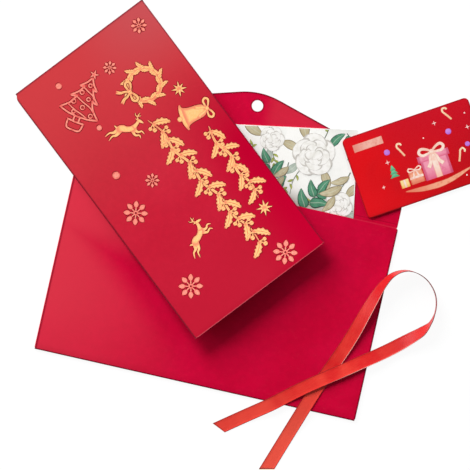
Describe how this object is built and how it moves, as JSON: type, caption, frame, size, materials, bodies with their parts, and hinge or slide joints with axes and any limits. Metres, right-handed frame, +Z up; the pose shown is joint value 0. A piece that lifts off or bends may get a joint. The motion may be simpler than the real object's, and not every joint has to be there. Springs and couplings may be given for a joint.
{
  "type": "money envelope set",
  "caption": "Foil-printed money packet lying across a larger open card envelope, with a folding flap, note card, gift card and loose satin ribbon.",
  "frame": {"origin": "centre of the underside of the outer envelope's back panel, between its bottom fold and the flap's crease", "axes": "+X along the envelope's long edge, +Y towards the open flap, +Z up from the table"},
  "size_m": [0.2728, 0.244, 0.0126],
  "materials": {
    "red_card": "matte",
    "printed_red_card": "satin",
    "note_paper": "matte",
    "gift_card_plastic": "gloss",
    "satin_ribbon": "satin",
    "gold_foil": "satin",
    "coral_foil": "satin"
  },
  "bodies": {
    "outer_envelope": {"outer_back_panel": "red_card", "outer_pocket_panel": "red_card", "outer_bottom_fold": "red_card", "outer_left_fold": "red_card", "outer_right_fold": "red_card", "outer_left_glue_tab": "red_card", "outer_right_glue_tab": "red_card"},
    "envelope_flap": {"outer_flap": "red_card"},
    "money_packet": {"packet_front_panel": "printed_red_card", "packet_back_panel": "printed_red_card", "packet_left_fold": "printed_red_card", "packet_right_fold": "printed_red_card", "packet_end_fold": "printed_red_card", "packet_end_tab": "printed_red_card", "packet_seam_tab": "printed_red_card"},
    "packet_end_flap": {"packet_flap": "printed_red_card"},
    "note": {"note_card": "note_paper"},
    "plastic_card": {"gift_card": "gift_card_plastic"},
    "loose_ribbon": {"ribbon": "satin_ribbon"}
  },
  "joints": [
    {"name": "flap_fold", "type": "hinge", "parent": "outer_envelope", "child": "envelope_flap", "pos_m": [0, 0.0565, 0.0013], "axis": [1, 0, 0], "range_deg": [0, 180], "deforming": ["note_card"]},
    {"name": "packet_lift", "type": "slide", "parent": "outer_envelope", "child": "money_packet", "axis": [0, 0, 1], "range_m": [0, 0.19]},
    {"name": "packet_flap_fold", "type": "hinge", "parent": "money_packet", "child": "packet_end_flap", "pos_m": [-0.10572, 0.11437, 0.0025], "axis": [0.6481, 0.7615, 0], "range_deg": [0, 180]},
    {"name": "gift_card_lift", "type": "slide", "parent": "outer_envelope", "child": "plastic_card", "axis": [0, 0, 1], "range_m": [0, 0.19]},
    {"name": "note_card_slide", "type": "slide", "parent": "outer_envelope", "child": "note", "axis": [0.1719, -0.9851, 0], "range_m": [0, 0.0508]},
    {"name": "ribbon_lift", "type": "slide", "parent": "outer_envelope", "child": "loose_ribbon", "axis": [0, 0, 1], "range_m": [0, 0.19]}
  ],
  "couplings": [
    {"joint": "packet_lift", "follows": "flap_fold", "m_per_rad": 0.06},
    {"joint": "gift_card_lift", "follows": "flap_fold", "m_per_rad": 0.06},
    {"joint": "note_card_slide", "follows": "flap_fold", "m_per_rad": 0.0161}
  ]
}
